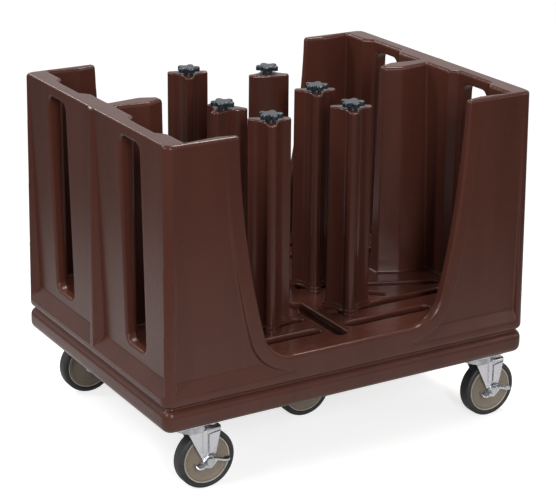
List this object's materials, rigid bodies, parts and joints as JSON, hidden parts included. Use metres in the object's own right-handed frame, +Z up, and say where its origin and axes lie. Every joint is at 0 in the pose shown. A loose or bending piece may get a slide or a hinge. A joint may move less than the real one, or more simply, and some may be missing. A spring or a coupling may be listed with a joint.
{
  "type": "dish cart",
  "caption": "Wheeled moulded plate cart with open long sides, finned end walls with hand slots, and clamped towers that slide in floor slots.",
  "frame": {"origin": "on the ground under the middle of the body's long and short sides", "axes": "+X along the long side, towards the right when facing the braked front side; +Y from the front (braked) side to the rear; +Z up"},
  "size_m": [0.9785, 0.732, 0.816],
  "materials": {
    "body_plastic": "satin rotational moulding, dark chocolate brown",
    "tower_plastic": "satin moulded polyethylene, dark chocolate brown",
    "knob_plastic": "moulded blue-black plastic",
    "rod_steel": "zinc-plated steel",
    "caster_chrome": "bright zinc-plated pressed steel",
    "fastener_steel": "zinc-plated steel",
    "hub_plastic": "taupe moulded nylon",
    "tyre_rubber": "dark grey thermoplastic rubber"
  },
  "bodies": {
    "cart": {"body": "body_plastic", "caster_bolts": "fastener_steel", "caster_plate_front_left": "caster_chrome", "caster_plate_front_right": "caster_chrome", "caster_plate_rear_left": "caster_chrome", "caster_plate_rear_right": "caster_chrome", "caster_plate_centre_front": "caster_chrome", "caster_plate_centre_rear": "caster_chrome"},
    "slider_1": {"tie_rod_1": "rod_steel", "t_bar_1": "rod_steel"},
    "tower_1": {"tower_1": "tower_plastic"},
    "knob_1": {"knob_1": "knob_plastic"},
    "slider_2": {"tie_rod_2": "rod_steel", "t_bar_2": "rod_steel"},
    "tower_2": {"tower_2": "tower_plastic"},
    "knob_2": {"knob_2": "knob_plastic"},
    "slider_3": {"tie_rod_3": "rod_steel", "t_bar_3": "rod_steel"},
    "tower_3": {"tower_3": "tower_plastic"},
    "knob_3": {"knob_3": "knob_plastic"},
    "slider_4": {"tie_rod_4": "rod_steel", "t_bar_4": "rod_steel"},
    "tower_4": {"tower_4": "tower_plastic"},
    "knob_4": {"knob_4": "knob_plastic"},
    "slider_5": {"tie_rod_5": "rod_steel", "t_bar_5": "rod_steel"},
    "tower_5": {"tower_5": "tower_plastic"},
    "knob_5": {"knob_5": "knob_plastic"},
    "slider_6": {"tie_rod_6": "rod_steel", "t_bar_6": "rod_steel"},
    "tower_6": {"tower_6": "tower_plastic"},
    "knob_6": {"knob_6": "knob_plastic"},
    "swivel_front_left": {"caster_fork_front_left": "caster_chrome", "axle_bolt_front_left": "fastener_steel"},
    "wheel_front_left": {"wheel_hub_front_left": "hub_plastic", "tyre_front_left": "tyre_rubber"},
    "brake_front_left": {"brake_lever_front_left": "caster_chrome"},
    "swivel_front_right": {"caster_fork_front_right": "caster_chrome", "axle_bolt_front_right": "fastener_steel"},
    "wheel_front_right": {"wheel_hub_front_right": "hub_plastic", "tyre_front_right": "tyre_rubber"},
    "brake_front_right": {"brake_lever_front_right": "caster_chrome"},
    "swivel_rear_left": {"caster_fork_rear_left": "caster_chrome", "axle_bolt_rear_left": "fastener_steel"},
    "wheel_rear_left": {"wheel_hub_rear_left": "hub_plastic", "tyre_rear_left": "tyre_rubber"},
    "swivel_rear_right": {"caster_fork_rear_right": "caster_chrome", "axle_bolt_rear_right": "fastener_steel"},
    "wheel_rear_right": {"wheel_hub_rear_right": "hub_plastic", "tyre_rear_right": "tyre_rubber"},
    "swivel_centre_front": {"caster_fork_centre_front": "caster_chrome", "axle_bolt_centre_front": "fastener_steel"},
    "wheel_centre_front": {"wheel_hub_centre_front": "hub_plastic", "tyre_centre_front": "tyre_rubber"},
    "swivel_centre_rear": {"caster_fork_centre_rear": "caster_chrome", "axle_bolt_centre_rear": "fastener_steel"},
    "wheel_centre_rear": {"wheel_hub_centre_rear": "hub_plastic", "tyre_centre_rear": "tyre_rubber"}
  },
  "joints": [
    {"name": "tower_1_slide", "type": "slide", "parent": "cart", "child": "slider_1", "axis": [1, 0, 0], "range_m": [-0.174, 0.038]},
    {"name": "tower_1_turn", "type": "hinge", "parent": "slider_1", "child": "tower_1", "pos_m": [-0.084, 0.268, 0.297], "axis": [0, 0, 1], "continuous": true},
    {"name": "knob_1_turn", "type": "hinge", "parent": "slider_1", "child": "knob_1", "pos_m": [-0.084, 0.268, 0.7853], "axis": [0, 0, 1], "range_deg": [0, 180]},
    {"name": "tower_2_slide", "type": "slide", "parent": "cart", "child": "slider_2", "axis": [1, 0, 0], "range_m": [-0.046, 0.256]},
    {"name": "tower_2_turn", "type": "hinge", "parent": "slider_2", "child": "tower_2", "pos_m": [0.092, 0.19, 0.297], "axis": [0, 0, 1], "continuous": true},
    {"name": "knob_2_turn", "type": "hinge", "parent": "slider_2", "child": "knob_2", "pos_m": [0.092, 0.19, 0.7853], "axis": [0, 0, 1], "range_deg": [0, 180]},
    {"name": "tower_3_slide", "type": "slide", "parent": "cart", "child": "slider_3", "axis": [-0.9194, -0.3932, 0], "range_m": [-0.105, 0.1982]},
    {"name": "tower_3_turn", "type": "hinge", "parent": "slider_3", "child": "tower_3", "pos_m": [-0.16573, -0.04922, 0.297], "axis": [0, 0, 1], "continuous": true},
    {"name": "knob_3_turn", "type": "hinge", "parent": "slider_3", "child": "knob_3", "pos_m": [-0.16573, -0.04922, 0.7853], "axis": [0, 0, 1], "range_deg": [0, 180]},
    {"name": "tower_4_slide", "type": "slide", "parent": "cart", "child": "slider_4", "axis": [1, 0, 0], "range_m": [-0.224, 0.078]},
    {"name": "tower_4_turn", "type": "hinge", "parent": "slider_4", "child": "tower_4", "pos_m": [-0.124, -0.19, 0.297], "axis": [0, 0, 1], "continuous": true},
    {"name": "knob_4_turn", "type": "hinge", "parent": "slider_4", "child": "knob_4", "pos_m": [-0.124, -0.19, 0.7853], "axis": [0, 0, 1], "range_deg": [0, 180]},
    {"name": "tower_5_slide", "type": "slide", "parent": "cart", "child": "slider_5", "axis": [-0.9194, 0.3932, 0], "range_m": [-0.2697, 0.0335]},
    {"name": "tower_5_turn", "type": "hinge", "parent": "slider_5", "child": "tower_5", "pos_m": [0.1, -0.02111, 0.297], "axis": [0, 0, 1], "continuous": true},
    {"name": "knob_5_turn", "type": "hinge", "parent": "slider_5", "child": "knob_5", "pos_m": [0.1, -0.02111, 0.7853], "axis": [0, 0, 1], "range_deg": [0, 180]},
    {"name": "tower_6_slide", "type": "slide", "parent": "cart", "child": "slider_6", "axis": [1, 0, 0], "range_m": [-0.045, 0.257]},
    {"name": "tower_6_turn", "type": "hinge", "parent": "slider_6", "child": "tower_6", "pos_m": [0.091, -0.19, 0.297], "axis": [0, 0, 1], "continuous": true},
    {"name": "knob_6_turn", "type": "hinge", "parent": "slider_6", "child": "knob_6", "pos_m": [0.091, -0.19, 0.7853], "axis": [0, 0, 1], "range_deg": [0, 180]},
    {"name": "swivel_front_left", "type": "hinge", "parent": "cart", "child": "swivel_front_left", "pos_m": [-0.391, -0.3025, 0.16], "axis": [0, 0, 1], "continuous": true},
    {"name": "wheel_front_left", "type": "hinge", "parent": "swivel_front_left", "child": "wheel_front_left", "pos_m": [-0.356, -0.3025, 0.07], "axis": [0, 1, 0], "continuous": true},
    {"name": "brake_front_left", "type": "hinge", "parent": "swivel_front_left", "child": "brake_front_left", "pos_m": [-0.356, -0.3025, 0.07], "axis": [0, 1, 0], "range_deg": [0, 25]},
    {"name": "swivel_front_right", "type": "hinge", "parent": "cart", "child": "swivel_front_right", "pos_m": [0.391, -0.3025, 0.16], "axis": [0, 0, 1], "continuous": true},
    {"name": "wheel_front_right", "type": "hinge", "parent": "swivel_front_right", "child": "wheel_front_right", "pos_m": [0.426, -0.3025, 0.07], "axis": [0, 1, 0], "continuous": true},
    {"name": "brake_front_right", "type": "hinge", "parent": "swivel_front_right", "child": "brake_front_right", "pos_m": [0.426, -0.3025, 0.07], "axis": [0, 1, 0], "range_deg": [0, 25]},
    {"name": "swivel_rear_left", "type": "hinge", "parent": "cart", "child": "swivel_rear_left", "pos_m": [-0.391, 0.3025, 0.16], "axis": [0, 0, 1], "continuous": true},
    {"name": "wheel_rear_left", "type": "hinge", "parent": "swivel_rear_left", "child": "wheel_rear_left", "pos_m": [-0.356, 0.3025, 0.07], "axis": [0, 1, 0], "continuous": true},
    {"name": "swivel_rear_right", "type": "hinge", "parent": "cart", "child": "swivel_rear_right", "pos_m": [0.391, 0.3025, 0.16], "axis": [0, 0, 1], "continuous": true},
    {"name": "wheel_rear_right", "type": "hinge", "parent": "swivel_rear_right", "child": "wheel_rear_right", "pos_m": [0.426, 0.3025, 0.07], "axis": [0, 1, 0], "continuous": true},
    {"name": "swivel_centre_front", "type": "hinge", "parent": "cart", "child": "swivel_centre_front", "pos_m": [0, -0.084, 0.16], "axis": [0, 0, 1], "continuous": true},
    {"name": "wheel_centre_front", "type": "hinge", "parent": "swivel_centre_front", "child": "wheel_centre_front", "pos_m": [0.035, -0.084, 0.07], "axis": [0, 1, 0], "continuous": true},
    {"name": "swivel_centre_rear", "type": "hinge", "parent": "cart", "child": "swivel_centre_rear", "pos_m": [0, 0.084, 0.16], "axis": [0, 0, 1], "continuous": true},
    {"name": "wheel_centre_rear", "type": "hinge", "parent": "swivel_centre_rear", "child": "wheel_centre_rear", "pos_m": [0.035, 0.084, 0.07], "axis": [0, 1, 0], "continuous": true}
  ]
}
